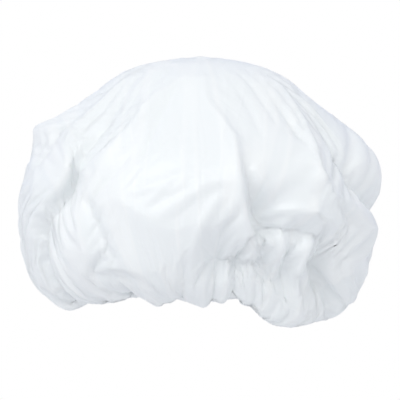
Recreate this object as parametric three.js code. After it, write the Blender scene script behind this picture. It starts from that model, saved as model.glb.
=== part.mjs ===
// A rinse-free shampoo cap: one round sheet of soft white film, puffed up over the hair and gathered at
// its edge by an elastic band. Millimetres, +Z up. The origin is the centre of the head opening, level
// with the elastic. The front of the cap faces -Y, and +X is to the right as seen from the front.
//
// Every place on the sheet has two coordinates. Azimuth is the angle round the cap in degrees: 0 at the
// front, 90 at the right, 180 at the back, -90 at the left. Share is how far out on the flat sheet the
// place lies: 0 at the middle of the crown, 1 at the sheet's edge.

import * as THREE from "three";

// Driving sizes.
const SHEET_RADIUS = 300; // the flat sheet, before it is gathered
const WALL = 1.2; // thickness of the sheet's wall
const BODY_DEPTH_RATIO = 1.03; // front-to-back size of the puffed body over its width
const OVAL_GROWS = { from: 0.86, to: 1.0 }; // share over which its plan becomes the head opening's oval

// The elastic: a flat band that stands upright round the head opening, inside the gathered edge.
const OPENING_WIDTH = 156; // inside the band, side to side
const OPENING_RATIO = 1.2; // front-to-back size of the opening over its width
const BAND_HEIGHT = 7;
const BAND_THICKNESS = 1.2;
const BAND_GAP = 0.4; // clear of the innermost gathers
const BAND_STEPS = 96;

// The gathers that the elastic draws up: how many go round, how far each stands out, and how unevenly
// they are spaced, with a wander of that many small shifts round the cap.
const GATHERS = [
  { count: 37, height: 1.8, wander: 1.3, shifts: 3 },
  { count: 53, height: 1.0, wander: 2, shifts: 2 },
];
const GATHER_GROWS = { from: 0.7, to: 1.0 }; // share over which they come in
const GATHER_HEIGHT = GATHERS.reduce((sum, row) => sum + row.height, 0);
const RIM_RADIUS = OPENING_WIDTH / 2 + BAND_THICKNESS + BAND_GAP + GATHER_HEIGHT;

// The cap's outline with no folds, as a row for each section. The radius is side to side.
const PROFILE = [
  { share: 0.0, radius: 0, height: 159 },
  { share: 0.06, radius: 18, height: 157.6 },
  { share: 0.117, radius: 35, height: 154.8 },
  { share: 0.215, radius: 61.5, height: 144 },
  { share: 0.289, radius: 79, height: 130 },
  { share: 0.373, radius: 98, height: 114 },
  { share: 0.449, radius: 114.5, height: 98 },
  { share: 0.526, radius: 126.5, height: 79 },
  { share: 0.594, radius: 131.5, height: 59 },
  { share: 0.678, radius: 132.5, height: 34 },
  { share: 0.763, radius: 128.5, height: 10 },
  { share: 0.831, radius: 118, height: -8 },
  { share: 0.885, radius: 104, height: -17 },
  { share: 0.93, radius: 92, height: -16 },
  { share: 0.965, radius: RIM_RADIUS + 2, height: -8 },
  { share: 1.0, radius: RIM_RADIUS, height: BAND_HEIGHT / 2 },
];

// Folds, as a row for each stretch. A fold runs in a straight line on the sheet from one place to
// another. Its height is outward for a ridge and negative for a valley, and its width is the distance
// over which it dies away to about a third. Heights and widths change evenly from end to end.
const FOLD_COLUMNS = ["azimuth", "share", "toAzimuth", "toShare", "width", "toWidth", "height", "toHeight"];

const FRONT_LEFT_FOLDS = [
  [-52, 0.2, -50, 0.31, 6, 7, -2, -4], // long valley from the crown
  [-50, 0.31, -55, 0.46, 7, 8, -4, -8],
  [-55, 0.46, -58, 0.56, 8, 11, -8, -20], // opening into the deep hollow
  [-58, 0.56, -60, 0.64, 11, 8, -20, -14], // the hollow's foot
  [-60, 0.64, -57, 0.78, 8, 8, -14, -14], // and down to the gathers
  [-57, 0.78, -56, 0.95, 8, 9, -14, -13],
  [-18, 0.17, -30, 0.28, 4, 5, 1.5, 3], // left edge of the front panel
  [-30, 0.28, -31, 0.4, 5, 6, 3, 4],
  [-31, 0.4, -38, 0.5, 6, 7, 4, 3],
  [-38, 0.5, -46, 0.58, 7, 6, 3, 5],
  [-66, 0.24, -63, 0.35, 5, 7, 2, 5], // bright ridge left of the hollow
  [-63, 0.35, -66, 0.52, 7, 8, 5, 7],
  [-66, 0.52, -72, 0.64, 8, 7, 7, 5],
  [-80, 0.32, -86, 0.44, 6, 6, 0, 8], // ridge out to the shoulder's corner
  [-84, 0.47, -88, 0.475, 6, 6, -6, -6], // nick under the corner
  [-90, 0.75, -66, 0.66, 5, 4, -7, -3],
  [-74, 0.68, -68, 0.82, 4, 5, -4, -4],
  [-70, 0.85, -68, 0.95, 6, 6, -6, -6],
  [-51, 0.6, -45, 0.7, 9, 9, 4, 4], // flat facet beside the hollow's foot
  [-46, 0.585, -35, 0.715, 3, 3, -4, -3], // the crease that ends it
  [-29, 0.57, -12, 0.66, 5, 6, 2, 1],
  [-16, 0.22, -20, 0.46, 4, 6, -1, -3],
  [-43, 0.86, -43, 0.96, 5, 6, -5, -6],
  [-29, 0.82, -26, 0.97, 4, 7, -4, -16], // open notch in the lower edge
  [-4, 0.74, -9, 0.96, 6, 7, -5, -12],
];

const FRONT_RIGHT_FOLDS = [
  [3, 0.2, 13, 0.46, 4, 6, 1.5, 4], // long ridge from the crown
  [13, 0.46, 14, 0.54, 6, 6, 4, 6], // right edge of the front panel
  [14, 0.54, 19, 0.7, 6, 6, 6, 8],
  [19, 0.7, 18, 0.82, 6, 5, 8, 5],
  [10, 0.56, 3, 0.7, 10, 16, -3, -10], // hollow to its left
  [3, 0.7, 5, 0.82, 16, 14, -10, -8],
  [16, 0.49, 22, 0.63, 4, 13, -2, -14], // three-cornered hollow to its right
  [20, 0.5, 28, 0.61, 5, 5, 2, 3],
  [24, 0.615, 43, 0.635, 5, 5, 4, 6], // ledge over the gathers
  [19, 0.665, 42, 0.675, 7, 7, -13, -10], // and the undercut below it
  [24, 0.7, 25, 0.95, 5, 6, -7, -9],
  [28.5, 0.67, 30, 0.93, 4, 5, 6, 6], // pleats under the ledge
  [33.5, 0.68, 34, 0.95, 4, 6, -8, -9],
  [37, 0.7, 37, 0.9, 4, 5, 5, 4],
  [41, 0.66, 45, 0.76, 5, 10, -8, -20], // the deepest of them
  [45, 0.76, 43, 0.95, 10, 9, -20, -15],
  [50, 0.66, 58, 0.86, 6, 8, 4, 5],
  [8, 0.73, 6.5, 0.96, 4, 6, -5, -8],
  [13, 0.74, 13, 0.97, 4, 5, -7, -13],
  [20, 0.8, 21, 0.97, 3, 3, -9, -20],
  [36, 0.3, 44, 0.46, 4, 5, -3, -6],
  [45, 0.26, 46, 0.42, 4, 5, 2, 3],
  [53, 0.28, 49, 0.43, 3, 4, -3, -4],
  [57, 0.24, 47, 0.45, 4, 6, 2, 5], // edge of the right-hand panel
  [47, 0.45, 48, 0.56, 6, 6, 5, 7],
  [48, 0.56, 60, 0.61, 6, 7, 7, 7],
  [60, 0.61, 74, 0.66, 7, 7, 7, 5],
  [62, 0.34, 57, 0.52, 8, 12, -5, -16], // valley in front of the right-hand puff
  [57, 0.52, 72, 0.61, 12, 11, -16, -18],
  [72, 0.61, 104, 0.7, 11, 8, -18, -18],
  [76, 0.575, 106, 0.63, 5, 5, 5, 8], // overhang of the puff above it
  [66, 0.78, 62, 0.96, 7, 7, -6, -9],
  [78, 0.8, 78, 0.96, 7, 7, -7, -10],
];

const BACK_FOLDS = [
  [92, 0.4, 98, 0.95, 6, 10, -2, -13],
  [112, 0.28, 118, 0.96, 6, 12, -2, -19],
  [128, 0.62, 133, 0.96, 7, 8, -4, -12],
  [146, 0.22, 150, 0.95, 6, 12, -3, -20],
  [163, 0.58, 165, 0.96, 6, 8, -4, -12],
  [181, 0.3, 178, 0.95, 6, 11, -3, -18],
  [196, 0.64, 194, 0.96, 6, 8, -4, -12],
  [214, 0.2, 210, 0.95, 6, 12, -3, -20],
  [228, 0.6, 226, 0.96, 6, 8, -4, -12],
  [244, 0.34, 242, 0.95, 6, 11, -3, -17],
  [258, 0.55, 259, 0.96, 6, 8, -4, -12],
  [133, 0.3, 140, 0.6, 5, 8, 2, 6],
  [170, 0.26, 172, 0.62, 5, 8, 2, 6],
  [200, 0.24, 203, 0.62, 5, 8, 2, 6],
  [232, 0.26, 236, 0.58, 5, 8, 2, 6],
];

const FOLDS = [...FRONT_LEFT_FOLDS, ...FRONT_RIGHT_FOLDS, ...BACK_FOLDS].map((row) =>
  Object.fromEntries(FOLD_COLUMNS.map((column, i) => [column, row[i]])),
);

// Where the lower puffs hang below the outline, or ride above it where drop is negative. halfAngle is how
// far round each one reaches.
const SAGS = [
  { azimuth: 42, halfAngle: 18, drop: 18, outward: 3 },
  { azimuth: 74, halfAngle: 14, drop: 8, outward: 0 },
  { azimuth: -38, halfAngle: 14, drop: -5, outward: -2 },
  { azimuth: -68, halfAngle: 18, drop: 4, outward: 1 },
  { azimuth: 105, halfAngle: 22, drop: 3, outward: 2 },
  { azimuth: 165, halfAngle: 30, drop: 5, outward: 3 },
  { azimuth: 235, halfAngle: 26, drop: 5, outward: 2 },
];
const SAG_GROWS = { from: 0.66, to: 0.86 }; // share over which a sag comes in
const SAG_FADES = { from: 0.92, to: 1.0 }; // and over which it goes again, towards the elastic

// Where the body puffs out past the outline.
const PUFFS = [
  { azimuth: 96, share: 0.54, halfAngle: 24, halfShare: 0.13, outward: 8 },
  { azimuth: -86, share: 0.36, halfAngle: 22, halfShare: 0.08, outward: 8 },
];

const FOLD_FADES = { from: 0.92, to: 0.965 }; // share over which the folds flatten towards the elastic
const FOLD_ROUNDING = 2.5; // keeps a crease from being a knife edge

const SLOPE_STEP = 0.002; // share on either side of a place over which the outline's slope is taken

// Rings of the faceted sheet: how many points each has, from the crown outwards.
const RING_GROUPS = [
  { fromShare: 0.025, rings: 1, points: 15 },
  { fromShare: 0.055, rings: 1, points: 30 },
  { fromShare: 0.1, rings: 5, points: 60 },
  { fromShare: 0.34, rings: 20, points: 120 },
];

const rad = THREE.MathUtils.degToRad;
const turnBetween = (a, b) => THREE.MathUtils.euclideanModulo(a - b + Math.PI, 2 * Math.PI) - Math.PI;

// 0 before a stretch of the sheet, 1 after it, and smooth between.
const riseOver = (stretch, share) => THREE.MathUtils.smoothstep(share, stretch.from, stretch.to);

// A hump that is 1 at its middle and dies away evenly on both sides.
const hump = (x) => Math.exp(-x * x);

// A smooth curve through one column of the profile, made of cubic pieces. Its slope at a row is the
// average of the slopes on both sides, weighted to the shorter one.
function profileCurve(column) {
  const last = PROFILE.length - 1;
  const x = PROFILE.map((row) => row.share);
  const y = PROFILE.map((row) => row[column]);
  const gap = x.slice(1).map((next, i) => next - x[i]);
  const rise = gap.map((width, i) => (y[i + 1] - y[i]) / width);
  const slope = x.map((_, i) => {
    if (i === 0) return rise[0];
    if (i === last) return rise[last - 1];
    return (rise[i - 1] * gap[i] + rise[i] * gap[i - 1]) / (gap[i - 1] + gap[i]);
  });
  return (share) => {
    const i = THREE.MathUtils.clamp(x.findLastIndex((at) => at <= share), 0, last - 1);
    const t = (share - x[i]) / gap[i];
    const start = (2 * t ** 3 - 3 * t ** 2 + 1) * y[i] + (t ** 3 - 2 * t ** 2 + t) * gap[i] * slope[i];
    const end = (3 * t ** 2 - 2 * t ** 3) * y[i + 1] + (t ** 3 - t ** 2) * gap[i] * slope[i + 1];
    return start + end;
  };
}
const profileRadius = profileCurve("radius");
const profileHeight = profileCurve("height");

// How far all the folds together push the sheet out at a place. Distances are along the sheet: round it,
// a turn times the cap's radius, and down it, a share times the sheet's radius.
function foldsAt(azimuth, share) {
  const radius = profileRadius(share);
  let sum = 0;
  for (const fold of FOLDS) {
    const foldTurn = rad(fold.toAzimuth - fold.azimuth);
    const foldDown = SHEET_RADIUS * (fold.toShare - fold.share);
    const foldRound = foldTurn * profileRadius((fold.share + fold.toShare) / 2);
    const turn = turnBetween(azimuth, rad(fold.azimuth));
    const round = turn * profileRadius((fold.share + fold.toShare) / 2);
    const down = SHEET_RADIUS * (share - fold.share);
    const along = (round * foldRound + down * foldDown) / (foldRound ** 2 + foldDown ** 2);
    const t = THREE.MathUtils.clamp(along, 0, 1);
    const distance = Math.hypot(radius * (turn - t * foldTurn), down - t * foldDown, FOLD_ROUNDING);
    const width = THREE.MathUtils.lerp(fold.width, fold.toWidth, t);
    const height = THREE.MathUtils.lerp(fold.height, fold.toHeight, t);
    sum += height * Math.exp(-(distance - FOLD_ROUNDING) / width);
  }
  return sum * (1 - riseOver(FOLD_FADES, share));
}

// How far the elastic's small gathers push the sheet out at a place.
function gathersAt(azimuth, share) {
  const waves = GATHERS.map(
    (row) => row.height * Math.sin(azimuth * row.count + row.wander * Math.sin(azimuth * row.shifts)),
  );
  return riseOver(GATHER_GROWS, share) * waves.reduce((a, b) => a + b, 0);
}

// How far the puffs push the sheet out at a place.
function puffsAt(azimuth, share) {
  let sum = 0;
  for (const puff of PUFFS) {
    const round = hump(turnBetween(azimuth, rad(puff.azimuth)) / rad(puff.halfAngle));
    sum += puff.outward * round * hump((share - puff.share) / puff.halfShare);
  }
  return sum;
}

// A point at an azimuth, on an oval that is radius wide and ratio times as deep.
function placeAt(azimuth, radius, ratio, height) {
  return new THREE.Vector3(radius * Math.sin(azimuth), -radius * ratio * Math.cos(azimuth), height);
}

// The place in space of a point of the sheet: the outline, let down by the sags, then moved straight out
// from the outline by the folds, gathers and puffs.
function sheetPoint(azimuth, share) {
  const before = Math.max(share - SLOPE_STEP, 0);
  const after = Math.min(share + SLOPE_STEP, 1);
  const slopeOut = profileRadius(after) - profileRadius(before);
  const slopeUp = profileHeight(after) - profileHeight(before);
  const slope = Math.hypot(slopeOut, slopeUp);
  const outward = foldsAt(azimuth, share) + gathersAt(azimuth, share) + puffsAt(azimuth, share);
  let radius = profileRadius(share) - (slopeUp / slope) * outward;
  let height = profileHeight(share) + (slopeOut / slope) * outward;
  const low = riseOver(SAG_GROWS, share) * (1 - riseOver(SAG_FADES, share));
  for (const sag of SAGS) {
    const round = hump(turnBetween(azimuth, rad(sag.azimuth)) / rad(sag.halfAngle));
    radius += sag.outward * round * low;
    height -= sag.drop * round * low;
  }
  const ratio = THREE.MathUtils.lerp(BODY_DEPTH_RATIO, OPENING_RATIO, riseOver(OVAL_GROWS, share));
  return placeAt(azimuth, radius, ratio, height);
}

// The rings of points that the faceted sheet is made of, from the crown to the rim.
function ringPlan() {
  return RING_GROUPS.flatMap((group, i) => {
    const next = RING_GROUPS[i + 1];
    const steps = next ? group.rings : group.rings - 1;
    return Array.from({ length: group.rings }, (_, k) => ({
      share: THREE.MathUtils.lerp(group.fromShare, next ? next.fromShare : 1, k / steps),
      points: group.points,
    }));
  });
}

// Triangles between two rings of points, of which the outer has as many points or twice as many.
function stitchRings(inner, outer) {
  const faces = [];
  for (let i = 0; i < inner.points; i++) {
    const a = inner.start + i;
    const b = inner.start + ((i + 1) % inner.points);
    if (outer.points === inner.points) {
      const c = outer.start + i;
      const d = outer.start + ((i + 1) % outer.points);
      faces.push([a, c, d], [a, d, b]);
    } else {
      const c = outer.start + 2 * i;
      const d = outer.start + 2 * i + 1;
      const e = outer.start + ((2 * i + 2) % outer.points);
      faces.push([a, c, d], [a, d, b], [b, d, e]);
    }
  }
  return faces;
}

function geometryFrom(points, faces) {
  const geometry = new THREE.BufferGeometry().setFromPoints(points);
  geometry.setIndex(faces.flat());
  geometry.computeVertexNormals();
  return geometry;
}

// The sheet as a closed wall: an outer skin, an inner skin one wall thickness inside it, and the cut
// edge that joins them at the rim.
function crownGeometry() {
  const rings = ringPlan();
  const skin = [sheetPoint(0, 0)];
  for (const ring of rings) {
    ring.start = skin.length;
    for (let i = 0; i < ring.points; i++) skin.push(sheetPoint((2 * Math.PI * i) / ring.points, ring.share));
  }
  const [first] = rings;
  const faces = [];
  for (let i = 0; i < first.points; i++) {
    faces.push([0, first.start + i, first.start + ((i + 1) % first.points)]);
  }
  for (let k = 1; k < rings.length; k++) faces.push(...stitchRings(rings[k - 1], rings[k]));

  const normals = geometryFrom(skin, faces).getAttribute("normal");
  const inner = skin.map((point, i) => {
    const normal = new THREE.Vector3().fromBufferAttribute(normals, i);
    return point.clone().addScaledVector(normal, -WALL);
  });
  const count = skin.length;
  const innerFaces = faces.map(([a, b, c]) => [count + a, count + c, count + b]);
  const rim = rings.at(-1);
  const edge = [];
  for (let i = 0; i < rim.points; i++) {
    const a = rim.start + i;
    const b = rim.start + ((i + 1) % rim.points);
    edge.push([a, count + a, count + b], [a, count + b, b]);
  }
  return geometryFrom([...skin, ...inner], [...faces, ...innerFaces, ...edge]);
}

// The elastic as a closed oval ring with a flat upright section.
function bandGeometry() {
  const inside = OPENING_WIDTH / 2;
  const section = [
    { radius: inside, height: -BAND_HEIGHT / 2 },
    { radius: inside + BAND_THICKNESS, height: -BAND_HEIGHT / 2 },
    { radius: inside + BAND_THICKNESS, height: BAND_HEIGHT / 2 },
    { radius: inside, height: BAND_HEIGHT / 2 },
  ];
  const points = [];
  const faces = [];
  for (let i = 0; i < BAND_STEPS; i++) {
    const azimuth = (2 * Math.PI * i) / BAND_STEPS;
    for (const corner of section) points.push(placeAt(azimuth, corner.radius, OPENING_RATIO, corner.height));
    const here = section.length * i;
    const next = section.length * ((i + 1) % BAND_STEPS);
    for (let k = 0; k < section.length; k++) {
      const l = (k + 1) % section.length;
      faces.push([here + k, next + k, next + l], [here + k, next + l, here + l]);
    }
  }
  return geometryFrom(points, faces);
}

const film = new THREE.MeshStandardMaterial({ color: 0xf2f6fa, roughness: 0.45, metalness: 0 });
const elastic = new THREE.MeshStandardMaterial({ color: 0xf4f4f2, roughness: 0.8, metalness: 0 });

const cap = new THREE.Group();
const crown = new THREE.Mesh(crownGeometry(), film);
crown.name = "crown";
const band = new THREE.Mesh(bandGeometry(), elastic);
band.name = "elastic_band";
cap.add(crown, band);

export default cap;
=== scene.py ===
# %% [markdown]
# # A rinse-free shampoo cap
#
# The cap is one round sheet of soft white film, sewn at its edge to a ring of elastic. Worn on a head it
# puffs up over the hair, and it takes its look from two kinds of fold: a few large ones that run from
# the crown to the edge, and the many small ones that the elastic gathers up.
#
# The lesson builds the sheet in three steps. A formula gives the worn shape with its large folds, a cloth
# simulation of a sheet with a little cloth to spare adds the crumples, and a solidify modifier gives it a
# thin wall.

# %% The frame and the tools
import math

import bpy
import numpy as np
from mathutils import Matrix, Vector


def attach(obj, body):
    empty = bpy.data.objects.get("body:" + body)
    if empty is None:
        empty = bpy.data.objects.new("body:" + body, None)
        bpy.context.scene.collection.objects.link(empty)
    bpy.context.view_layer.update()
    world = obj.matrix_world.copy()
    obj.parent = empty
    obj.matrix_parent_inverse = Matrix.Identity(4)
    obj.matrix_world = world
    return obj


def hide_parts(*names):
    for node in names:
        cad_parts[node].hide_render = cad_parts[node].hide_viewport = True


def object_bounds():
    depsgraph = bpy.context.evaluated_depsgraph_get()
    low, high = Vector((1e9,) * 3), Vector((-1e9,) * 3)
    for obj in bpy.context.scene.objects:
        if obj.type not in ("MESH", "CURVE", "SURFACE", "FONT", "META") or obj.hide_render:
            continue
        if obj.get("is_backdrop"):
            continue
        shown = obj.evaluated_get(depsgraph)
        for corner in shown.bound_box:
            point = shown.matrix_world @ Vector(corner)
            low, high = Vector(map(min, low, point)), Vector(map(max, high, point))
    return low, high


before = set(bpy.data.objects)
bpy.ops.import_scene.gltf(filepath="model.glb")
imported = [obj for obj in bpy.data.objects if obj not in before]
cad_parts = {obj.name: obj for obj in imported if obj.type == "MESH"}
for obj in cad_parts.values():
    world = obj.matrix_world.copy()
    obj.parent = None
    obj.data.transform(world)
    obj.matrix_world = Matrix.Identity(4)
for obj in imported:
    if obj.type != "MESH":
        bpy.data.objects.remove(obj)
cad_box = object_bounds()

MM = 0.001
view_scene = bpy.context.scene
print("CAD box in mm:", [[round(x / MM, 1) for x in corner] for corner in cad_box])

# %% [markdown]
# ## Places on the sheet
#
# A place on the flat sheet has an azimuth, which is the angle round the cap with 0 at the front and 90 at
# the right, and a share, which is 0 at the middle of the crown and 1 at the sewn edge. A profile could be
# drawn as a curve object and spun, but folds have to be added at known places, so the profile is a short
# table and every later step asks it for a radius and a height.

# %% The cap's profile
SHEET_RADIUS = 300.0
PROFILE = np.array([
    # share, radius, height
    (0.0, 0, 159), (0.06, 18, 157.6), (0.117, 35, 154.8), (0.215, 61.5, 144), (0.289, 79, 130),
    (0.373, 98, 114), (0.449, 114.5, 98), (0.526, 126.5, 79), (0.594, 131.5, 59), (0.678, 132.5, 34),
    (0.763, 128.5, 10), (0.831, 118, -8), (0.885, 104, -17), (0.93, 92, -16), (0.965, 84.4, -8),
    (1.0, 82.4, 3.5),
])
BODY_DEPTH_RATIO, OPENING_RATIO = 1.03, 1.2


def ease(x):
    """0 below 0, 1 above 1, and between them three times the square less twice the cube."""
    x = np.clip(x, 0, 1)
    return x * x * (3 - 2 * x)


def rising(x, start, over):
    """0 up to start, 1 from start + over, and eased between."""
    return ease((x - start) / over)


def curve_through(column):
    """A function of share: cubic pieces between the profile's rows, each with the slope that is the mean
    of the slopes on its two sides, weighted to the shorter side."""
    x, y = PROFILE[:, 0], PROFILE[:, column]
    gap = np.diff(x)
    rise = np.diff(y) / gap
    inner_slope = (rise[1:] * gap[:-1] + rise[:-1] * gap[1:]) / (gap[:-1] + gap[1:])
    slope = np.concatenate([rise[:1], inner_slope, rise[-1:]])

    def at(share):
        i = np.clip(np.searchsorted(x, share, side="right") - 1, 0, len(gap) - 1)
        t = (share - x[i]) / gap[i]
        start = (2 * t**3 - 3 * t**2 + 1) * y[i] + (t**3 - 2 * t**2 + t) * gap[i] * slope[i]
        return start + (3 * t**2 - 2 * t**3) * y[i + 1] + (t**3 - t**2) * gap[i] * slope[i + 1]

    return at


radius_at, height_at = curve_through(1), curve_through(2)
print("widest radius", round(float(radius_at(np.linspace(0, 1, 400)).max()), 1), "mm")

# %% [markdown]
# ## The large folds
#
# Film doesn't stretch, so where it has too much cloth it lies in ridges and valleys that run nearly
# straight. Sculpting them by hand would work, but it can't be repeated. Here each stretch of a fold is a
# row of a table: where it starts and ends, how wide it is and how far it stands out, or in if negative.

# %% The tables of folds
# A fold through several places is a list of rows: azimuth, share, width, height. Its lean, from -1 to 1,
# makes it gentler on the side of greater azimuth, or above it where it runs level, and steeper on the other.
LEFT_FOLDS = {
    "front panel's left edge": (0.3, [
        (-14, 0.2, 4, 1.5), (-19, 0.24, 4, 2), (-25, 0.27, 4, 3), (-28, 0.31, 5, 3.5), (-29, 0.385, 5, 4),
        (-32.5, 0.43, 6, 3), (-36, 0.48, 6, 2)]),
    "crease beside it": (0, [(-30, 0.33, 2.5, -2.5), (-34.5, 0.44, 2.5, -2.5)]),
    "valley to the hollow": (0.45, [
        (-52, 0.2, 6, -2), (-49, 0.26, 6, -3), (-46, 0.31, 7, -4), (-45, 0.375, 8, -6), (-46, 0.42, 8, -8),
        (-47.5, 0.465, 8, -7.5), (-49, 0.51, 8, -7), (-51, 0.56, 8, -5.5), (-54, 0.61, 8, -7),
        (-58, 0.66, 8, -10), (-61, 0.74, 8, -11), (-58, 0.95, 9, -12)]),
    "ridge over the hollow": (-0.3, [
        (-60, 0.24, 5, 2), (-58, 0.31, 6, 3), (-57, 0.38, 7, 5), (-57, 0.45, 8, 4), (-58, 0.51, 8, 3),
        (-60, 0.55, 8, 3), (-62, 0.585, 8, 3), (-62, 0.61, 8, 3), (-64, 0.67, 8, 3)]),
    "crease on that ridge": (0, [(-54, 0.3, 2.5, -2), (-57, 0.45, 2.5, -2.5)]),
    "second crease on it": (0, [(-57, 0.22, 2, -1.5), (-51.5, 0.33, 2.5, -2.5), (-53, 0.46, 2.5, -2)]),
    "crease down from the crown": (0, [(-40, 0.19, 2, -1), (-37, 0.3, 2.5, -2.5), (-39, 0.4, 2.5, -2)]),
    "shoulder": (0.7, [
        (-114, 0.47, 12, 3), (-100, 0.455, 12, 9), (-88, 0.442, 12, 12.5), (-76, 0.42, 11, 7),
        (-64, 0.38, 8, 2)]),
    "long crease on the side": (0, [(-66, 0.36, 2.5, -1.5), (-72, 0.48, 2.5, -3), (-77, 0.6, 3, -2)]),
    "second long crease": (0, [(-76, 0.44, 2.5, -1.5), (-84, 0.54, 3, -3), (-90, 0.64, 3, -1.5)]),
    "fine crease by the crown": (0, [(-76, 0.12, 3, -0.8), (-66, 0.22, 2.5, -1.6), (-63, 0.32, 2.5, -1.2)]),
    "edge down the side": (0, [
        (-86, 0.47, 5, 2), (-74, 0.52, 6, 3.5), (-69, 0.58, 6, 4), (-70, 0.64, 6, 3), (-77, 0.7, 6, 2)]),
    "crease low on the left": (0, [(-92, 0.74, 5, -7), (-72, 0.66, 4, -3)]),
    "crease crossing it": (0, [(-76, 0.68, 4, -4), (-70, 0.82, 5, -4)]),
    "pleat at the lower left": (0, [(-74, 0.85, 6, -6), (-70, 0.95, 6, -6)]),
    "bright facet": (0, [(-41, 0.6, 8, 3), (-36, 0.7, 8, 3)]),
    "crease that ends the facet": (0, [(-36.5, 0.585, 2.5, -4), (-32.5, 0.63, 2.5, -5), (-27, 0.72, 3, -3)]),
    "soft ridge across the panel": (0, [(-25, 0.575, 5, 2.5), (-13, 0.62, 6, 1.5)]),
    "soft valley down the panel": (0, [(-16, 0.22, 4, -1), (-20, 0.46, 6, -3)]),
    "undercut above the edge": (0, [(-36, 0.775, 6, -3), (-20, 0.79, 6, -4)]),
    "pleat left of the notch": (0, [(-43, 0.86, 5, -5), (-43, 0.96, 6, -6)]),
    "notch in the lower edge": (0, [(-27, 0.82, 4, -4), (-26, 0.97, 7, -16)]),
    "pleat under the panel": (0, [(-5, 0.74, 6, -4), (-8, 0.96, 7, -10)]),
}
RIGHT_FOLDS = {
    "front panel's right edge": (-0.45, [
        (3, 0.2, 4, 1.5), (4, 0.28, 4, 2), (9, 0.35, 5, 3), (12.5, 0.41, 5, 4), (12.7, 0.46, 6, 5),
        (12.2, 0.5, 6, 6), (13, 0.57, 6, 9), (14.5, 0.62, 6, 11), (16, 0.65, 6, 11),
        (18, 0.7, 5, 8), (19, 0.8, 5, 3)]),
    "three-cornered hollow": (0.6, [(13.8, 0.47, 4, -3), (16.5, 0.55, 7, -10), (20.5, 0.625, 8, -10)]),
    "hollow's right edge": (0, [(18.5, 0.5, 4, 2), (21.5, 0.54, 4, 3), (25, 0.585, 5, 4), (29, 0.615, 5, 5)]),
    "ledge over the gathers": (0.5, [
        (20, 0.615, 4, 3), (27, 0.6, 5, 8), (36, 0.607, 5, 9), (40, 0.63, 5, 8)]),
    "soft edge over the hollow": (0.3, [
        (11, 0.54, 5, 1), (5, 0.575, 6, 3), (0, 0.63, 7, 5), (-2, 0.68, 7, 4), (-3, 0.76, 6, 2)]),
    "pocket under the ledge": (-0.4, [
        (20, 0.65, 7, -12), (25, 0.642, 7, -13), (33, 0.647, 7, -12), (40, 0.665, 6, -8)]),
    "first dark pleat": (0, [(22.5, 0.66, 6, -10), (24, 0.78, 6, -4)]),
    "first bright pleat": (0, [(28, 0.64, 4, 7), (27.5, 0.76, 6, 3)]),
    "second dark pleat": (0, [(31.5, 0.655, 5, -8), (31.5, 0.79, 5, -4)]),
    "edge left of the deep fold": (0, [
        (40, 0.648, 4, 4), (36.5, 0.7, 4, 8), (36, 0.75, 4, 7), (38, 0.84, 6, 2)]),
    "deep fold": (0, [
        (43, 0.675, 4, -5), (45, 0.705, 5, -11), (47, 0.75, 8, -15), (49, 0.8, 9, -14), (49, 0.86, 9, -6)]),
    "lobe's left edge": (0.3, [(47, 0.67, 5, 4), (57, 0.73, 6, 5), (62, 0.785, 7, 5), (62, 0.86, 8, 3)]),
    "pleat under the ridge": (0, [(6, 0.72, 5, -5), (4.5, 0.96, 6, -6)]),
    "bright pleat beside it": (0, [(10, 0.69, 3, 3), (10, 0.82, 3, 3)]),
    "dark pleat by the ridge": (0, [(14, 0.71, 4, -7), (13, 0.84, 4, -6), (13, 0.97, 4, -11)]),
    "nick in the lower edge": (0, [(21, 0.84, 4, -4), (22, 0.97, 4, -5)]),
    "fine crease by the crown": (0, [(30, 0.12, 3, -0.8), (34, 0.24, 2.5, -1.6), (34, 0.36, 2.5, -1.4)]),
    "second fine crease": (0, [(20, 0.16, 2.5, -0.7), (24, 0.28, 2.5, -1.4), (24, 0.4, 2.5, -1)]),
    "upper valley": (0, [(42, 0.31, 4, -2), (41, 0.4, 5, -5), (41, 0.47, 6, -2)]),
    "ridge beside it": (0, [(46, 0.26, 4, 2), (45, 0.38, 4, 2)]),
    "valley inside the edge": (0, [(50, 0.32, 2.5, -2), (45, 0.39, 2.5, -4), (41, 0.45, 3, -2)]),
    "right panel's edge": (-0.4, [
        (57, 0.24, 4, 2), (51.5, 0.32, 5, 3), (48.3, 0.366, 5, 4), (45.4, 0.4, 6, 5), (42.8, 0.453, 6, 7),
        (39.8, 0.5, 6, 9), (40.3, 0.53, 6, 10), (43, 0.57, 7, 8), (47.5, 0.587, 7, 5), (53, 0.6, 7, 4.5),
        (57, 0.617, 7, 4), (62, 0.645, 7, 4), (74, 0.67, 7, 4)]),
    "valley behind the panel": (0.3, [
        (62, 0.34, 8, -4), (58, 0.46, 9, -13), (61, 0.53, 10, -20), (68, 0.575, 11, -18), (84, 0.63, 11, -18),
        (104, 0.68, 9, -16)]),
    "crease across the puff": (0, [(49, 0.452, 3, -3), (60, 0.445, 3, -3)]),
    "pleat at the right": (0, [(80, 0.78, 7, -5), (76, 0.96, 7, -9)]),
}
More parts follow.
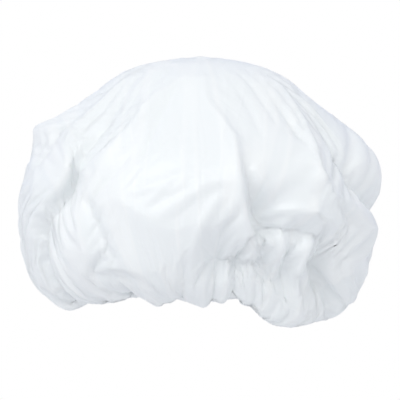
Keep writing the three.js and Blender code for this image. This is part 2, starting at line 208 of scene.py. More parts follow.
BACK_FOLDS = {
    "valleys": (0, [
        [(92, 0.4, 6, -2), (98, 0.95, 10, -13)], [(112, 0.28, 6, -2), (118, 0.96, 12, -19)],
        [(128, 0.62, 7, -4), (133, 0.96, 8, -12)], [(146, 0.22, 6, -3), (150, 0.95, 12, -20)],
        [(163, 0.58, 6, -4), (165, 0.96, 8, -12)], [(181, 0.3, 6, -3), (178, 0.95, 11, -18)],
        [(196, 0.64, 6, -4), (194, 0.96, 8, -12)], [(214, 0.2, 6, -3), (210, 0.95, 12, -20)],
        [(228, 0.6, 6, -4), (226, 0.96, 8, -12)], [(244, 0.34, 6, -3), (242, 0.95, 11, -17)],
        [(258, 0.55, 6, -4), (259, 0.96, 8, -12)]]),
    "ridges": (0, [
        [(133, 0.3, 5, 2), (140, 0.6, 8, 6)], [(170, 0.26, 5, 2), (172, 0.62, 8, 6)],
        [(200, 0.24, 5, 2), (203, 0.62, 8, 6)], [(232, 0.26, 5, 2), (236, 0.58, 8, 6)]]),
}


def stretches(folds):
    """One row for each straight stretch of each fold: the two places it joins, then its lean."""
    rows = []
    for lean, run in folds.values():
        for path in run if isinstance(run[0], list) else [run]:
            rows += [(*start, *end, lean) for start, end in zip(path, path[1:])]
    return rows


FOLDS = stretches(LEFT_FOLDS) + stretches(RIGHT_FOLDS) + stretches(BACK_FOLDS)
print(len(FOLDS), "stretches of fold")

# %% [markdown]
# Below the widest place the sheet hangs in soft puffs of different sizes, and close to the elastic it is
# drawn into small gathers. These are broad humps and waves, which need only a few numbers each.

# %% Sags, puffs and gathers
# A sag lets the lower edge down, or takes it up if its drop is negative. A puff that goes outward by less
# than nothing is a dent. The half angle and the half share say how far they reach.
SAGS = [  # azimuth, half angle, drop, outward
    (41, 18, 14, 3), (74, 14, 8, 0), (-32, 16, -8, -2), (-10, 16, -6, 0), (16, 10, -9, 0),
    (-68, 18, 4, 1), (105, 22, 3, 2), (165, 30, 5, 3), (235, 26, 5, 2),
]
PUFFS = [  # azimuth, share, half angle, half share, outward
    (96, 0.54, 24, 0.13, 8), (-50, 0.56, 9, 0.055, -10), (49, 0.77, 11, 0.08, -9), (22, 0.6, 9, 0.05, -16),
    (7, 0.73, 11, 0.1, -17), (28, 0.77, 18, 0.09, -21), (92, 0.72, 26, 0.09, -7),
]
GATHERS = [(37, 1.3, 1.3, 3), (53, 0.8, 2, 2)]  # count, height, wander, shifts
CREASE_ROUNDING, JOINING = 0.8, 6
# The shares where something starts to grow or fade, each with how much further it is done.
FOLDS_FADE, GATHERS_GROW = (0.92, 0.045), (0.78, 0.22)
SAGS_GROW, SAGS_FADE, OVAL_GROWS = (0.66, 0.2), (0.92, 0.08), (0.86, 0.14)
# Where a ridge leans over a hollow: the half angles before and after it, and then the azimuth, share and
# shift in degrees at places along it.
OVERHANGS = [
    (22, 6, [
        (-56, 0.42, 0), (-56, 0.45, 4), (-57, 0.48, 7.5), (-58, 0.51, 9.5), (-60, 0.55, 10),
        (-62, 0.585, 7), (-62, 0.61, 4), (-63, 0.635, 1), (-64, 0.66, 0)]),
    (5, 22, [
        (47, 0.66, 0), (49, 0.69, -2), (57, 0.735, -3), (62, 0.785, -3), (62, 0.86, -2), (62, 0.93, 0)]),
]


def turn_between(azimuth, middle):
    """The angle from middle to azimuth in degrees, taken the short way round."""
    return (azimuth - middle + 180) % 360 - 180


def fold_line(azimuth, share, radius, a0, s0, a1, s1, rounding=0.0):
    """For each place, how far along the fold's line its nearest point is, from 0 to 1, its distance from
    there in mm, measured along the sheet, and 1 or -1 for the side of the line that it is on. Rounding
    keeps the distance's crease from being sharp."""
    turn, down, middle = math.radians(a1 - a0), s1 - s0, radius_at((s0 + s1) / 2)
    away = np.radians(turn_between(azimuth, a0))
    along = away * turn * middle**2 + (share - s0) * down * SHEET_RADIUS**2
    t = np.clip(along / ((turn * middle) ** 2 + (down * SHEET_RADIUS) ** 2), 0, 1)
    round_, out = radius * (away - t * turn), SHEET_RADIUS * (share - s0 - t * down)
    side = np.sign(away * middle * down - (share - s0) * turn * middle)
    return t, np.sqrt(round_**2 + out**2 + rounding**2), side


def folds_out(azimuth, share):
    """How far the folds push the sheet out, in mm: near each fold's line the height times
    exp(-distance / width). Where two stretches of one fold meet, both reach the same places, so of the
    pushes outwards only the greatest counts, as a soft maximum, and of those inwards likewise."""
    radius, pushes = radius_at(share), {1: np.zeros_like(share), -1: np.zeros_like(share)}
    for a0, s0, w0, h0, a1, s1, w1, h1, lean in FOLDS:
        t, distance, side = fold_line(azimuth, share, radius, a0, s0, a1, s1, CREASE_ROUNDING)
        width = (w0 + (w1 - w0) * t) * (1 + lean * side)
        push = np.abs(h0 + (h1 - h0) * t) * np.exp(-(distance - CREASE_ROUNDING) / width)
        pushes[1 if h0 + h1 > 0 else -1] += push**JOINING
    out, in_ = pushes[1] ** (1 / JOINING), pushes[-1] ** (1 / JOINING)
    return (out - in_) * (1 - rising(share, *FOLDS_FADE))


def leaning_round(azimuth, share):
    """How many degrees the folds lean over round the cap: the shift along each overhang's line, times a
    bell in azimuth with a half angle for each side of the line."""
    total = np.zeros_like(share)
    for before, after, line in OVERHANGS:
        middle, at, shift = np.array(line).T
        away = turn_between(azimuth, np.interp(share, at, middle))
        bell = np.exp(-((away / np.where(away < 0, before, after)) ** 2))
        total += np.interp(share, at, shift, 0, 0) * bell
    return total


def worn_place(azimuth, share):
    """The worn sheet's points in metres, one for each azimuth in degrees and share. The profile is pushed
    out along its own normal by folds, gathers and puffs, and let down by the sags."""
    step = 0.002
    before, after = np.maximum(share - step, 0), np.minimum(share + step, 1)
    slope_out, slope_up = radius_at(after) - radius_at(before), height_at(after) - height_at(before)
    slope = np.hypot(slope_out, slope_up)
    angle = np.radians(azimuth)
    waves = sum(
        height * np.sin(count * angle + wander * np.sin(shifts * angle))
        for count, height, wander, shifts in GATHERS
    )
    outward = folds_out(azimuth, share) + rising(share, *GATHERS_GROW) * waves
    for middle, at, half_angle, half_share, out in PUFFS:
        round_off, down_off = turn_between(azimuth, middle) / half_angle, (share - at) / half_share
        outward = outward + out * np.exp(-(round_off**2) - down_off**2)
    radius = radius_at(share) - slope_up / slope * outward
    height = height_at(share) + slope_out / slope * outward
    low = rising(share, *SAGS_GROW) * (1 - rising(share, *SAGS_FADE))
    for middle, half_angle, drop, out in SAGS:
        near = low * np.exp(-((turn_between(azimuth, middle) / half_angle) ** 2))
        radius, height = radius + out * near, height - drop * near
    angle = angle + np.radians(leaning_round(azimuth, share))
    depth = BODY_DEPTH_RATIO + (OPENING_RATIO - BODY_DEPTH_RATIO) * rising(share, *OVAL_GROWS)
    return MM * np.stack([radius * np.sin(angle), -radius * depth * np.cos(angle), height], axis=-1)


front = worn_place(np.array([0.0]), np.array([0.6]))[0]
print("a point of the front is at", np.round(front / MM, 1), "mm")

# %% [markdown]
# ## The round sheet
#
# A grid of squares makes a poor disc, because its cells are all drawn together at the middle. Rings of
# six, twelve, eighteen and more points keep every triangle nearly the same size, so the cloth crumples
# equally well everywhere.

# %% The disc's rings and triangles
RINGS = 120


def disc_of_rings(rings):
    """Ring k has 6k points, evenly spaced, at share k / rings. Each sector of ring k sends k triangles
    inwards and k - 1 outwards, which is how a hexagon of triangles is numbered."""
    count = 6 * np.arange(rings + 1)
    count[0] = 1
    start = np.concatenate([[0], np.cumsum(count)])
    ring = np.repeat(np.arange(rings + 1), count)
    turn = (np.arange(start[-1]) - start[ring]) / count[ring]
    outer = np.arange(1, start[-1])
    k, place = ring[outer], outer - start[ring[outer]]
    sector, step = place // k, place % k
    following = start[k] + (place + 1) % (6 * k)
    inside = start[k - 1] + (sector * (k - 1) + step) % count[k - 1]
    inward = np.stack([inside, outer, following], axis=1)
    inner = np.arange(1, start[-2])
    k, place = ring[inner], inner - start[ring[inner]]
    sector, step = place // k, place % k
    outside = start[k + 1] + sector * (k + 1) + step + 1
    outward = np.stack([inner, outside, start[k] + (place + 1) % (6 * k)], axis=1)
    return 360 * turn, ring / rings, np.concatenate([inward, outward])


azimuth, share, triangles = disc_of_rings(RINGS)
worn = worn_place(azimuth, share)
worn[0] = worn[1:7].mean(axis=0)
print(len(azimuth), "points and", len(triangles), "triangles")

# %% [markdown]
# ## How much cloth there is
#
# The crumples come from spare cloth. The rest shape below is a plain dome with no folds, but it has the
# worn sheet's lengths with a little added, both round the cap and down it. Simulating from the flat disc
# gives lively creases too, but then the large folds end up wherever they like. The smooth panel at the
# front lies taut over the hair, so it gets almost none of the spare cloth.

# %% The rest shape of the cloth
SPARE_AT_CROWN, SPARE_BELOW, SPARE_DOWN = 0.01, 0.03, 0.01
SPARE_GROWS = (0.25, 0.5)
TAUT_PANEL = {"middle": 3, "half_angle": 46, "ends": 0.72, "fades": 0.12, "keeps": 0.1}
MEASURED_RINGS, MEASURED_PER_DEGREE = 120, 2
LENGTHS_AVERAGED_OVER = 6


def smoothed(values):
    """Each row becomes the mean of the nine rows around it, and the ends are mirrored."""
    padded = np.pad(values, [(4, 4)] + [(0, 0)] * (values.ndim - 1), mode="reflect", reflect_type="odd")
    return sum(padded[i : i + len(values)] for i in range(9)) / 9


def smoothed_round(values, half_angle):
    """Each row is averaged round the cap with a bell of that half angle, by Fourier transform."""
    turns = np.arange(values.shape[1] - 1) * 360 / (values.shape[1] - 1)
    bell = np.exp(-(turn_between(turns, 0) ** 2) / (2 * half_angle**2))
    mixed = np.fft.ifft(np.fft.fft(values[:, :-1], axis=1) * np.fft.fft(bell / bell.sum()), axis=1).real
    return np.concatenate([mixed, mixed[:, :1]], axis=1)


def taut_panel(azimuth, share):
    """1 on the taut panel at the front, and 0 well outside it."""
    near = np.exp(-((turn_between(azimuth, TAUT_PANEL["middle"]) / TAUT_PANEL["half_angle"]) ** 4))
    return near * (1 - rising(share, TAUT_PANEL["ends"], TAUT_PANEL["fades"]))


def rest_shape(azimuth, share):
    """A dome. A ring's radius is its worn length over two pi with the spare cloth added, and its points
    are spaced as their distances along the worn ring. Each line from the crown down falls so steeply
    between two rings that it has its worn length, with its spare cloth added."""
    shares, turns = np.linspace(0.01, 1, MEASURED_RINGS), np.linspace(0, 360, 360 * MEASURED_PER_DEGREE + 1)
    grid = worn_place(*np.meshgrid(turns, shares))
    slack = 1 - (1 - TAUT_PANEL["keeps"]) * taut_panel(turns, shares[:, None])
    spare = (SPARE_AT_CROWN + SPARE_BELOW * rising(shares[:, None], *SPARE_GROWS)) * slack
    step = np.linalg.norm(np.diff(grid, axis=1), axis=2) * (1 + (spare[:, 1:] + spare[:, :-1]) / 2)
    way = np.concatenate([np.zeros((len(shares), 1)), np.cumsum(step, axis=1)], axis=1)
    part = smoothed(way / way[:, -1:])
    ring_radius = smoothed(np.minimum(way[:, -1] / (2 * np.pi), SHEET_RADIUS * MM * shares))
    down = smoothed_round(np.linalg.norm(np.diff(grid, axis=0), axis=2), LENGTHS_AVERAGED_OVER)
    down = smoothed(down) * (1 + SPARE_DOWN * slack[1:])
    fall = np.sqrt(np.maximum(down**2 - np.diff(ring_radius)[:, None] ** 2, 0))
    height = height_at(shares[0]) * MM - np.concatenate([np.zeros((1, len(turns))), np.cumsum(fall, axis=0)])
    row = np.clip((share - shares[0]) / (shares[1] - shares[0]), 0, len(shares) - 1.001)
    column = np.clip(azimuth * MEASURED_PER_DEGREE, 0, len(turns) - 1.001)
    i, j = row.astype(int), column.astype(int)
    u, v = row - i, column - j

    def between(table):
        upper = table[i, j] * (1 - v) + table[i, j + 1] * v
        lower = table[i + 1, j] * (1 - v) + table[i + 1, j + 1] * v
        return upper * (1 - u) + lower * u

    radius = np.interp(share, np.append(0, shares), np.append(0, ring_radius))
    angle = 2 * np.pi * between(part)
    z = np.where(share < shares[0], height_at(share) * MM, between(height))
    return np.stack([radius * np.sin(angle), -radius * np.cos(angle), z], axis=-1)


rest = rest_shape(azimuth, share)
print("the rest shape is", round(float(np.ptp(rest[:, 2])), 3), "m tall")

# %% [markdown]
# ## Crumpling the sheet
#
# The cloth is pulled to the worn shape by soft pins. A weight of 1 holds a point in place, and a small one
# lets it settle wherever the film's stiffness wants it. Strong pins along the lines of the folds and weak
# ones between them leave the film in flat facets with sharp creases between, as real film lies. The pins'
# targets are a shape key that is keyed from the rest shape to the worn one.

# %% The simulation
FRAMES, FRAME_OF_WORN_SHAPE = 24, 9
PIN_BETWEEN, PIN_PANEL, PIN_ON_FOLDS = 0.2, 0.1, 0.8
PIN_REACH, PIN_LEAST_HEIGHT = 6.0, 2.0
PIN_AT_CROWN, CROWN_ENDS, HELD_FROM = 0.4, 0.12, 0.965


def mesh_object(name, points, faces):
    """A new object at the origin that holds these points, in metres, and faces."""
    mesh = bpy.data.meshes.new(name)
    mesh.from_pydata(points.tolist(), [], faces.tolist())
    mesh.update()
    piece = bpy.data.objects.new(name, mesh)
    view_scene.collection.objects.link(piece)
    return piece


def distance_to_folds(azimuth, share):
    """How far each place is from the nearest fold's line, in mm along the sheet. Where a fold is lower
    than PIN_LEAST_HEIGHT, it counts as further off, by four times what it lacks."""
    radius, nearest = radius_at(share), np.full(len(share), 1e3)
    for a0, s0, _, h0, a1, s1, _, h1, _ in FOLDS:
        t, distance, _ = fold_line(azimuth, share, radius, a0, s0, a1, s1)
        lacks = np.maximum(PIN_LEAST_HEIGHT - np.abs(h0 + (h1 - h0) * t), 0)
        nearest = np.minimum(nearest, distance + 4 * lacks)
    return nearest


def pin_weights(azimuth, share):
    """Strong on the folds' lines, weak between them and weakest on the taut panel, firmer at the crown,
    and fixed at the elastic."""
    on_line = np.exp(-((distance_to_folds(azimuth, share) / PIN_REACH) ** 2))
    between = PIN_BETWEEN + (PIN_PANEL - PIN_BETWEEN) * taut_panel(azimuth, share)
    weight = between + (PIN_ON_FOLDS - between) * on_line
    weight = np.maximum(weight, np.where(share < CROWN_ENDS, PIN_AT_CROWN, 0))
    return np.where(share > HELD_FROM, 1.0, weight)


def crumpled(rest, worn, triangles, weight):
    """Runs Blender's Cloth on the rest shape, drawn to the worn shape, and gives the settled points."""
    sheet = mesh_object("settling_sheet", rest, triangles)
    bpy.context.view_layer.objects.active = sheet
    sheet.shape_key_add(name="Basis")
    key = sheet.shape_key_add(name="worn")
    key.data.foreach_set("co", worn.ravel())
    for value, step in ((0, 1), (1, FRAME_OF_WORN_SHAPE)):
        key.value = value
        key.keyframe_insert("value", frame=step)
    pins = sheet.vertex_groups.new(name="pins")
    for value in np.unique(weight.round(2)):
        pins.add(np.flatnonzero(np.abs(weight - value) < 0.005).tolist(), float(value), "REPLACE")
    cloth = sheet.modifiers.new("Cloth", "CLOTH")
    film = cloth.settings
    film.quality, film.mass, film.bending_stiffness = 6, 0.1, 0.02
    film.tension_stiffness = film.compression_stiffness = 15
    film.shear_stiffness = 5
    film.bending_damping = 0.5
    film.vertex_group_mass = "pins"
    film.effector_weights.gravity = 0
    cloth.collision_settings.use_collision = False
    cloth.point_cache.frame_end = FRAMES
    for step in range(1, FRAMES + 1):
        view_scene.frame_set(step)
    settled = sheet.evaluated_get(bpy.context.evaluated_depsgraph_get()).data
    points = np.empty(3 * len(settled.vertices))
    settled.vertices.foreach_get("co", points)
    bpy.data.objects.remove(sheet)
    view_scene.frame_set(1)
    return points.reshape(-1, 3)


crumpled_points = crumpled(rest, worn, triangles, pin_weights(azimuth, share))
moved = np.linalg.norm(crumpled_points - worn, axis=1) / MM
print("points moved by", round(float(moved.mean()), 2), "mm on average")
print("and by", round(float(moved.max()), 1), "mm at most")

# %% [markdown]
# The settling also shifts the large folds a little. Averaging the shifts of neighbouring points again and
# again leaves only that slow part of them, which is mostly taken out, so that the crumples stay and the
# large folds lie where the tables say.

# %% Large folds put back
SLOW_REACH, SLOW_KEPT = 11.0, 0.15
CRUMPLES_KEPT = 0.9
SMOOTH_PANELS = [  # azimuth, share, half angle, half share, how much of the crumples it loses
    (29, 0.44, 18, 0.26, 0.9), (-5, 0.38, 22, 0.22, 0.6), (-58, 0.52, 20, 0.1, 0.6),
    (82, 0.5, 28, 0.14, 0.55), (28, 0.86, 26, 0.09, 0.45), (6, 0.88, 18, 0.1, 0.6),
]


def averaged(values, triangles, times):
    """Each point's value becomes the mean of its neighbours' values, so many times over."""
    pairs = np.concatenate([triangles[:, (0, 1)], triangles[:, (1, 2)], triangles[:, (2, 0)]])
    pairs = np.unique(np.concatenate([pairs, pairs[:, ::-1]]), axis=0)
    neighbours = np.bincount(pairs[:, 0])[:, None]
    for _ in range(times):
        sums = [np.bincount(pairs[:, 0], part) for part in values[pairs[:, 1]].T]
        values = np.stack(sums, axis=1) / neighbours
    return values


def crumple_share(azimuth, share):
    """How much of the crumples each place keeps: little on the smooth panels, and most of them elsewhere."""
    lost = np.zeros(len(share))
    for middle, at, half_angle, half_share, loses in SMOOTH_PANELS:
        near = (turn_between(azimuth, middle) / half_angle) ** 2 + ((share - at) / half_share) ** 2
        lost = np.maximum(lost, loses * np.exp(-(near**2)))
    return CRUMPLES_KEPT * (1 - lost)


shifts = crumpled_points - worn
slow = averaged(shifts, triangles, round(2 * (SLOW_REACH * RINGS / SHEET_RADIUS) ** 2))
sheet_points = worn + crumple_share(azimuth, share)[:, None] * (shifts - (1 - SLOW_KEPT) * slow)
print("took out shifts of", round(float(np.linalg.norm(slow, axis=1).mean() / MM), 2), "mm on average")

# %% [markdown]
# ## The finished sheet
#
# A solidify modifier turns the surface into a thin wall. The wall grows outwards, because the elastic
# stands just inside the gathers. The patterns of the finish have to stay with the cloth however it is
# crumpled, so each point also keeps its place on the flat sheet, its place on a short tube that has the
# way to the crown along it, and its share.

# %% The sheet piece
WALL = 0.5
TUBE_RADIUS, TUBE_LENGTH = 0.1, 0.03


def keep_on_points(piece, name, kind, values):
    """Stores one value, or one vector, for each point of a piece."""
    field = "vector" if kind == "FLOAT_VECTOR" else "value"
    piece.data.attributes.new(name, kind, "POINT").data.foreach_set(field, values.ravel())


film_sheet = mesh_object("film_sheet", sheet_points, triangles)
film_sheet.data.shade_smooth()
across, towards_back = np.sin(np.radians(azimuth)), -np.cos(np.radians(azimuth))
flat = SHEET_RADIUS * MM * share[:, None] * np.stack([across, towards_back, 0 * azimuth], axis=1)
tube = np.stack([TUBE_RADIUS * across, TUBE_RADIUS * towards_back, TUBE_LENGTH * share], axis=1)
keep_on_points(film_sheet, "sheet_place", "FLOAT_VECTOR", flat)
keep_on_points(film_sheet, "tube_place", "FLOAT_VECTOR", tube)
keep_on_points(film_sheet, "share", "FLOAT", share)
wall = film_sheet.modifiers.new("wall", "SOLIDIFY")
wall.thickness, wall.offset = WALL * MM, 1
corner_a, corner_b, corner_c = (sheet_points[triangles[:, corner]] for corner in range(3))
worn_area = np.linalg.norm(np.cross(corner_b - corner_a, corner_c - corner_a), axis=1).sum() / 2
print("film_sheet has", len(film_sheet.data.polygons), "faces before its wall")
print("and", round(float(worn_area), 4), "square metres of cloth")

# %% [markdown]
# ## The elastic
#
# The elastic is a flat woven band, on edge round the opening. It could be a bevelled curve, but a grid
# lets its edges scallop a little where the stitches pull it.

# %% The elastic band
BAND_INSIDE, BAND_THICKNESS, BAND_HEIGHT = 78.0, 1.2, 7.0
BAND_MARGIN_ROUND, BAND_MARGIN_UP, SCALLOP = 0.08, 0.25, 0.2
CORNER_POWER = 0.35


def band_grid(columns, rows):
    """A closed ring: azimuth runs round the oval, and the other parameter runs round its section. The
    section is an oblong with rounded corners, the cosine and sine each raised to a small power, and it is
    a little taller under each gather where the stitches pull it."""
    turn = np.linspace(0, 2 * np.pi, columns, endpoint=False)[:, None]
    round_ = np.linspace(0, 2 * np.pi, rows, endpoint=False)[None, :]
    across = np.sign(np.cos(round_)) * np.abs(np.cos(round_)) ** CORNER_POWER
    up = np.sign(np.sin(round_)) * np.abs(np.sin(round_)) ** CORNER_POWER
    half = BAND_THICKNESS / 2 - BAND_MARGIN_ROUND
    radius = BAND_INSIDE + BAND_THICKNESS / 2 + across * half
    gathers_round = GATHERS[0][0]
    height = up * (BAND_HEIGHT / 2 - BAND_MARGIN_UP + SCALLOP * np.cos(2 * gathers_round * turn))
    points = MM * np.stack([radius * np.sin(turn), -OPENING_RATIO * radius * np.cos(turn), height], axis=-1)
    i, j = np.meshgrid(np.arange(columns), np.arange(rows), indexing="ij")
    corner = lambda di, dj: (i + di) % columns * rows + (j + dj) % rows
    faces = np.stack([corner(0, 0), corner(1, 0), corner(1, 1), corner(0, 1)], axis=-1).reshape(-1, 4)
    return points.reshape(-1, 3), faces


elastic_piece = mesh_object("woven_elastic", *band_grid(columns=720, rows=16))
elastic_piece.data.shade_smooth()
print("woven_elastic has", len(elastic_piece.data.polygons), "faces")

# %% [markdown]
# ## Creases finer than the mesh
#
# Film keeps a fine net of creases from being folded in its packet, and close to the elastic it is drawn
# into thin lines that run out from the edge. Modelling them would take millions of faces, and they are
# well under a millimetre deep, so a bump is enough. The net is three sets of long lines, each where a
# noise that is stretched one way crosses its middle value, read from the place on the flat sheet. The
# drawn lines are a ridged noise read from the place on the short tube, which stretches it along the way
# to the crown.

# %% Crease patterns as node groups
CREASE_SETS = [(25, 17, 1.0), (-55, 23, 0.8), (80, 41, 0.45)]  # turn in degrees, noise scale, depth
CREASE_STRETCH, CREASE_WIDTH = 7, 0.05


def group_with(name, outputs):
    """An empty shader group with these float outputs, and the node that they leave it by."""
    group = bpy.data.node_groups.new(name, "ShaderNodeTree")
    for label in outputs:
        group.interface.new_socket(label, in_out="OUTPUT", socket_type="NodeSocketFloat")
    return group, group.nodes.new("NodeGroupOutput")


def add_node(tree, kind, settings=(), values=(), links=()):
    """A node in a tree, with its settings, its sockets' values and the sockets that feed it."""
    node = tree.nodes.new(kind)
    for label, value in dict(settings).items():
        setattr(node, label, value)
    for socket, value in dict(values).items():
        node.inputs[socket].default_value = value
    for socket, source in dict(links).items():
        tree.links.new(source, node.inputs[socket])
    return node


def math_node(tree, operation, first, second=None, third=None):
    """The result of a Math node, whose inputs are numbers or sockets."""
    node = tree.nodes.new("ShaderNodeMath")
    node.operation = operation
    for place, value in enumerate((first, second, third)):
        if isinstance(value, (int, float)):
            node.inputs[place].default_value = value
        elif value is not None:
            tree.links.new(value, node.inputs[place])
    return node.outputs[0]


def smooth_step(tree, value, start, end):
    """0 at start, 1 at end, level beyond both, and smooth between."""
    smooth, limits = {"interpolation_type": "SMOOTHSTEP"}, {"From Min": start, "From Max": end}
    node = add_node(tree, "ShaderNodeMapRange", smooth, limits, {"Value": value})
    return node.outputs["Result"]


def colour_between(tree, factor, first, second):
    """A colour that goes from the first to the second as the factor goes from 0 to 1. Each is a value or
    a socket."""
    node = add_node(tree, "ShaderNodeMix", {"data_type": "RGBA"}, {}, {"Factor": factor})
    for socket, colour in (("A", first), ("B", second)):
        if isinstance(colour, tuple):
            node.inputs[socket].default_value = (*colour, 1)
        else:
            tree.links.new(colour, node.inputs[socket])
    return node.outputs["Result"]


def read_attribute(tree, name, output):
    """What a tree reads from the attribute of that name on the piece's points."""
    return add_node(tree, "ShaderNodeAttribute", {"attribute_name": name}).outputs[output]


packet_creases, crease_out = group_with("packet_creases", ["Height"])
flat_place = read_attribute(packet_creases, "sheet_place", "Vector")
net = 0.0
for turn, scale, depth in CREASE_SETS:
    placing = {"Rotation": (0, 0, math.radians(turn)), "Scale": (1, 1 / CREASE_STRETCH, 1)}
    turned = add_node(packet_creases, "ShaderNodeMapping", {}, placing, {"Vector": flat_place})
    fineness = {"Scale": scale, "Detail": 1.5, "Roughness": 0.4}
    along = {"Vector": turned.outputs["Vector"]}
    wave = add_node(packet_creases, "ShaderNodeTexNoise", {}, fineness, along).outputs["Fac"]
    off_middle = math_node(packet_creases, "ABSOLUTE", math_node(packet_creases, "SUBTRACT", wave, 0.5))
    line = smooth_step(packet_creases, off_middle, CREASE_WIDTH, 0.0)
    net = math_node(packet_creases, "ADD", math_node(packet_creases, "MULTIPLY", line, depth), net)
packet_creases.links.new(net, crease_out.inputs["Height"])

drawn_lines, drawn_out = group_with("drawn_lines", ["Height"])
tube_place = read_attribute(drawn_lines, "tube_place", "Vector")
ridged, fineness = {"noise_type": "RIDGED_MULTIFRACTAL"}, {"Scale": 55, "Detail": 3}
lines = add_node(drawn_lines, "ShaderNodeTexNoise", ridged, fineness, {"Vector": tube_place})
drawn_lines.links.new(lines.outputs["Fac"], drawn_out.inputs["Height"])
print("made", len(packet_creases.nodes) + len(drawn_lines.nodes), "nodes for the film's creases")

# %% [markdown]
# ## The weave of the elastic
#
# Woven elastic has upright ribs, one each 1.3 mm round the band, and rows of thread that cross over and
# under them. The ribs could be modelled, but they are only a few tenths of a millimetre deep. Here each
# rib is half a sine wave of the angle round the band, a second sine wave of the height swaps which is on
# top, and a fine noise is the fuzz of loose fibres.

# %% The weave as a node group
RIB_PAIRS, THREAD_PITCH = 200, 0.9
UNDER_AND_OVER, FUZZ_HEIGHT, FUZZ_SCALE = 0.35, 0.5, 900

woven_ribs, woven_out = group_with("woven_ribs", ["Height", "Fuzz"])
place = add_node(woven_ribs, "ShaderNodeTexCoord").outputs["Object"]
side = add_node(woven_ribs, "ShaderNodeSeparateXYZ", {}, {}, {"Vector": place}).outputs
widened = math_node(woven_ribs, "MULTIPLY", side["X"], OPENING_RATIO)
turn = math_node(woven_ribs, "ARCTAN2", widened, side["Y"])
rib = math_node(woven_ribs, "SINE", math_node(woven_ribs, "MULTIPLY", turn, RIB_PAIRS))
rows_up = math_node(woven_ribs, "MULTIPLY", side["Z"], 2 * math.pi / (THREAD_PITCH * MM))
crossing = math_node(woven_ribs, "MULTIPLY", rib, math_node(woven_ribs, "SINE", rows_up))
upright = math_node(woven_ribs, "ABSOLUTE", rib)
weave = math_node(woven_ribs, "MULTIPLY_ADD", crossing, UNDER_AND_OVER, upright)
fineness = {"Scale": FUZZ_SCALE, "Detail": 4, "Roughness": 0.7}
fuzz = add_node(woven_ribs, "ShaderNodeTexNoise", {}, fineness, {"Vector": place}).outputs["Fac"]
fuzzy_weave = math_node(woven_ribs, "MULTIPLY_ADD", fuzz, FUZZ_HEIGHT, weave)
woven_ribs.links.new(fuzzy_weave, woven_out.inputs["Height"])
woven_ribs.links.new(fuzz, woven_out.inputs["Fuzz"])
print("made", len(woven_ribs.nodes), "nodes for the weave")

# %% [markdown]
# ## The film's finish
#
# The film is milky and satin: it scatters light inside itself, and its gloss is soft. A principled shader
# with some subsurface does that. The creases are a little whiter and rougher than the flat film, because
# folding frosts it.

# %% The film material
def new_material(name, colour, roughness):
    """A principled material of one colour and roughness, with its shader and its node tree."""
    material = bpy.data.materials.new(name)
    material.use_nodes = True
    shader = material.node_tree.nodes["Principled BSDF"]
    shader.inputs["Base Color"].default_value = (*colour, 1)
    shader.inputs["Roughness"].default_value = roughness
    return material, shader, material.node_tree


FILM_FLAT, FILM_CREASED = (0.884, 0.914, 0.926), (0.914, 0.937, 0.943)
NET_HEIGHT, BUMP_DEPTH = 0.5, 0.0008
DRAWN_ANYWHERE, DRAWN_AT_ELASTIC, DRAWN_AT_CROWN = 0.08, 0.75, 0.4
NEAR_ELASTIC, NEAR_CROWN = (0.55, 1.0), (0.45, 0.2)  # from which share to which they set in
FROSTING_STARTS, FROSTING_ENDS = 0.3, 1.2
FLAT_ROUGHNESS, CREASES_ROUGHEN = 0.33, 0.08

film_material, shader, tree = new_material("satin_film", FILM_FLAT, FLAT_ROUGHNESS)
shader.inputs["Subsurface Weight"].default_value = 0.2
shader.inputs["Subsurface Radius"].default_value = (1, 1, 1)
shader.inputs["Subsurface Scale"].default_value = 0.006
shader.inputs["Specular IOR Level"].default_value = 0.5
creases = add_node(tree, "ShaderNodeGroup", {"node_tree": packet_creases}).outputs["Height"]
drawn = add_node(tree, "ShaderNodeGroup", {"node_tree": drawn_lines}).outputs["Height"]
edge_share = read_attribute(tree, "share", "Fac")
near_elastic = smooth_step(tree, edge_share, *NEAR_ELASTIC)
near_crown = smooth_step(tree, edge_share, *NEAR_CROWN)
drawn_height = math_node(tree, "MULTIPLY_ADD", near_elastic, DRAWN_AT_ELASTIC, DRAWN_ANYWHERE)
drawn_height = math_node(tree, "MULTIPLY_ADD", near_crown, DRAWN_AT_CROWN, drawn_height)
drawn_height = math_node(tree, "MULTIPLY", drawn, drawn_height)
height = math_node(tree, "ADD", math_node(tree, "MULTIPLY", creases, NET_HEIGHT), drawn_height)
bump = add_node(tree, "ShaderNodeBump", {}, {"Strength": 0.5, "Distance": BUMP_DEPTH}, {"Height": height})
tree.links.new(bump.outputs["Normal"], shader.inputs["Normal"])
frosting = smooth_step(tree, creases, FROSTING_STARTS, FROSTING_ENDS)
tree.links.new(colour_between(tree, frosting, FILM_FLAT, FILM_CREASED), shader.inputs["Base Color"])
rough = math_node(tree, "MULTIPLY_ADD", creases, CREASES_ROUGHEN, FLAT_ROUGHNESS)
tree.links.new(rough, shader.inputs["Roughness"])
film_sheet.data.materials.append(film_material)
print("the film's material has", len(tree.nodes), "nodes")

# %% [markdown]
# ## The finish of the elastic
#
# Woven elastic is matt, because cotton or polyester threads cross over the rubber ones. The grooves
# between the ribs are painted a little greyer, as painted shade, and loose fibres make the gloss uneven.
# A little sheen gives the soft rim that short fibres have.

# %% The elastic material
# The second colour is painted shade for the grooves between the ribs; the first is the thread's own colour.
RIB_TOP, GROOVE_PAINTED_SHADE, WEAVE_DEPTH = (0.9, 0.9, 0.87), (0.72, 0.72, 0.69), 0.0003
GROOVE_UP_TO, TOP_FROM = 0.1, 0.9
THREAD_ROUGHNESS, FUZZ_ROUGHENS = 0.62, 0.3

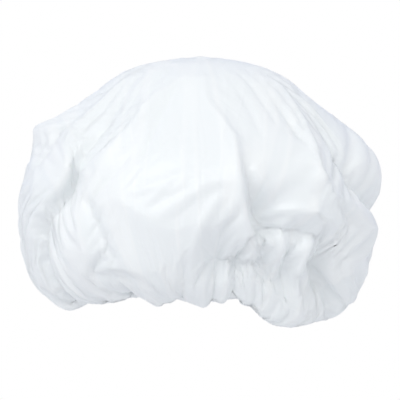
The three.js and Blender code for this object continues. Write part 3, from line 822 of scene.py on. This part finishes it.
elastic_material, shader, tree = new_material("woven_elastic", RIB_TOP, THREAD_ROUGHNESS)
weave = add_node(tree, "ShaderNodeGroup", {"node_tree": woven_ribs}).outputs
# The weave's height mixes them: painted shade low in the grooves, the thread's own colour on the rib tops.
out_of_groove_shade = smooth_step(tree, weave["Height"], GROOVE_UP_TO, TOP_FROM)
tree.links.new(colour_between(tree, out_of_groove_shade, GROOVE_PAINTED_SHADE, RIB_TOP), shader.inputs["Base Color"])
rough = math_node(tree, "MULTIPLY_ADD", weave["Fuzz"], FUZZ_ROUGHENS, THREAD_ROUGHNESS)
tree.links.new(rough, shader.inputs["Roughness"])
depth = {"Strength": 0.8, "Distance": WEAVE_DEPTH}
bump = add_node(tree, "ShaderNodeBump", {}, depth, {"Height": weave["Height"]})
tree.links.new(bump.outputs["Normal"], shader.inputs["Normal"])
shader.inputs["Sheen Weight"].default_value = 0.2
elastic_piece.data.materials.append(elastic_material)
print("the elastic's material has", len(tree.nodes), "nodes")

# %% [markdown]
# ## The studio
#
# The studio is a white room, brighter in front and above than at the sides and below, with one broad
# soft light from above the camera and to its left. The cap hangs in the air as if on a head, so the floor
# is a head's height below it. The camera sees floor and walls as plain white, so that nothing draws the
# eye from the cap. To the light the floor is a pale matt grey, which throws some light back up.

# %% Floor and light
FLOOR_DROP, FLOOR_HALF = 0.30, 30
ROOM_DIM, ROOM_BRIGHT = (0.6, 0.64, 0.8), (0.92, 0.93, 0.93)
AHEAD_COUNTS, ABOVE_COUNTS, GLOW_FADES = 0.7, 0.6, 0.9

floor_corners = FLOOR_HALF * np.array([(-1, -1, 0), (1, -1, 0), (1, 1, 0), (-1, 1, 0)]) - (0, 0, FLOOR_DROP)
floor = mesh_object("floor", floor_corners, np.array([[0, 1, 2, 3]]))
floor_material, shader, tree = new_material("pale_floor", (0.84, 0.84, 0.85), 0.9)
seen_white = add_node(tree, "ShaderNodeEmission").outputs["Emission"]
seen_by_camera = add_node(tree, "ShaderNodeLightPath").outputs["Is Camera Ray"]
mixed = {0: seen_by_camera, 1: shader.outputs[0], 2: seen_white}
either = add_node(tree, "ShaderNodeMixShader", {}, {}, mixed)
tree.links.new(either.outputs[0], tree.nodes["Material Output"].inputs["Surface"])
floor.data.materials.append(floor_material)
floor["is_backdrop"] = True

room = bpy.data.worlds.new("white_room")
view_scene.world = room
room.use_nodes = True
tree = room.node_tree
direction = add_node(tree, "ShaderNodeTexCoord").outputs["Generated"]
side = add_node(tree, "ShaderNodeSeparateXYZ", {}, {}, {"Vector": direction}).outputs
above = math_node(tree, "MULTIPLY", side["Z"], ABOVE_COUNTS)
ahead = math_node(tree, "MULTIPLY_ADD", side["Y"], -AHEAD_COUNTS, above)
glow = colour_between(tree, smooth_step(tree, ahead, -GLOW_FADES, GLOW_FADES), ROOM_DIM, ROOM_BRIGHT)
seen_by_camera = add_node(tree, "ShaderNodeLightPath").outputs["Is Camera Ray"]
seen = colour_between(tree, seen_by_camera, glow, (1, 1, 1))
tree.links.new(seen, tree.nodes["Background"].inputs["Color"])
tree.nodes["Background"].inputs["Strength"].default_value = 1.0


def soft_sun(name, azimuth, elevation, softness, power):
    """A sun from an azimuth and elevation in degrees, as wide as softness, so that its shadows are soft."""
    light = bpy.data.lights.new(name, "SUN")
    light.angle, light.energy = math.radians(softness), power
    lamp = bpy.data.objects.new(name, light)
    turn, rise = math.radians(azimuth), math.radians(elevation)
    towards = Vector((math.sin(turn) * math.cos(rise), -math.cos(turn) * math.cos(rise), math.sin(rise)))
    lamp.rotation_euler = towards.to_track_quat("Z", "Y").to_euler()
    view_scene.collection.objects.link(lamp)


soft_sun("key", azimuth=-32, elevation=42, softness=38, power=0.77)
print("the floor is", FLOOR_DROP, "m below the elastic")

# %% [markdown]
# ## The camera
#
# The camera stands well back with a long lens, so that perspective hardly bends the cap, and a little
# above the level of the elastic, so that it looks slightly down on the cap.

# %% Camera
CAMERA_ELEVATION, LENS, SENSOR = math.radians(5), 221, 36
VIEW_WIDTH, TARGET = 0.2943, Vector((0, 0, 0.0545))
back = Vector((0, -math.cos(CAMERA_ELEVATION), math.sin(CAMERA_ELEVATION)))
camera = bpy.data.objects.new("camera", bpy.data.cameras.new("camera"))
camera.data.lens, camera.data.sensor_width = LENS, SENSOR
camera.location = TARGET + back * VIEW_WIDTH * LENS / SENSOR
camera.rotation_euler = (-back).to_track_quat("-Z", "Y").to_euler()
view_scene.collection.objects.link(camera)
view_scene.camera = camera
view_scene.view_settings.view_transform = "Standard"
print("camera", round(VIEW_WIDTH * LENS / SENSOR, 2), "m away")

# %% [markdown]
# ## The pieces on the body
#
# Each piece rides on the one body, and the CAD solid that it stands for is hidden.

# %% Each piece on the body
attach(film_sheet, "root")
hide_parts("crown")
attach(elastic_piece, "root")
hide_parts("elastic_band")

# %% [markdown]
# Last, the box round the finished cap is measured and set beside the CAD's.

visual_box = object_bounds()
{"cad": [list(corner) for corner in cad_box], "visual": [list(corner) for corner in visual_box]}
print("visual box in mm:", [[round(x / MM, 1) for x in corner] for corner in visual_box])
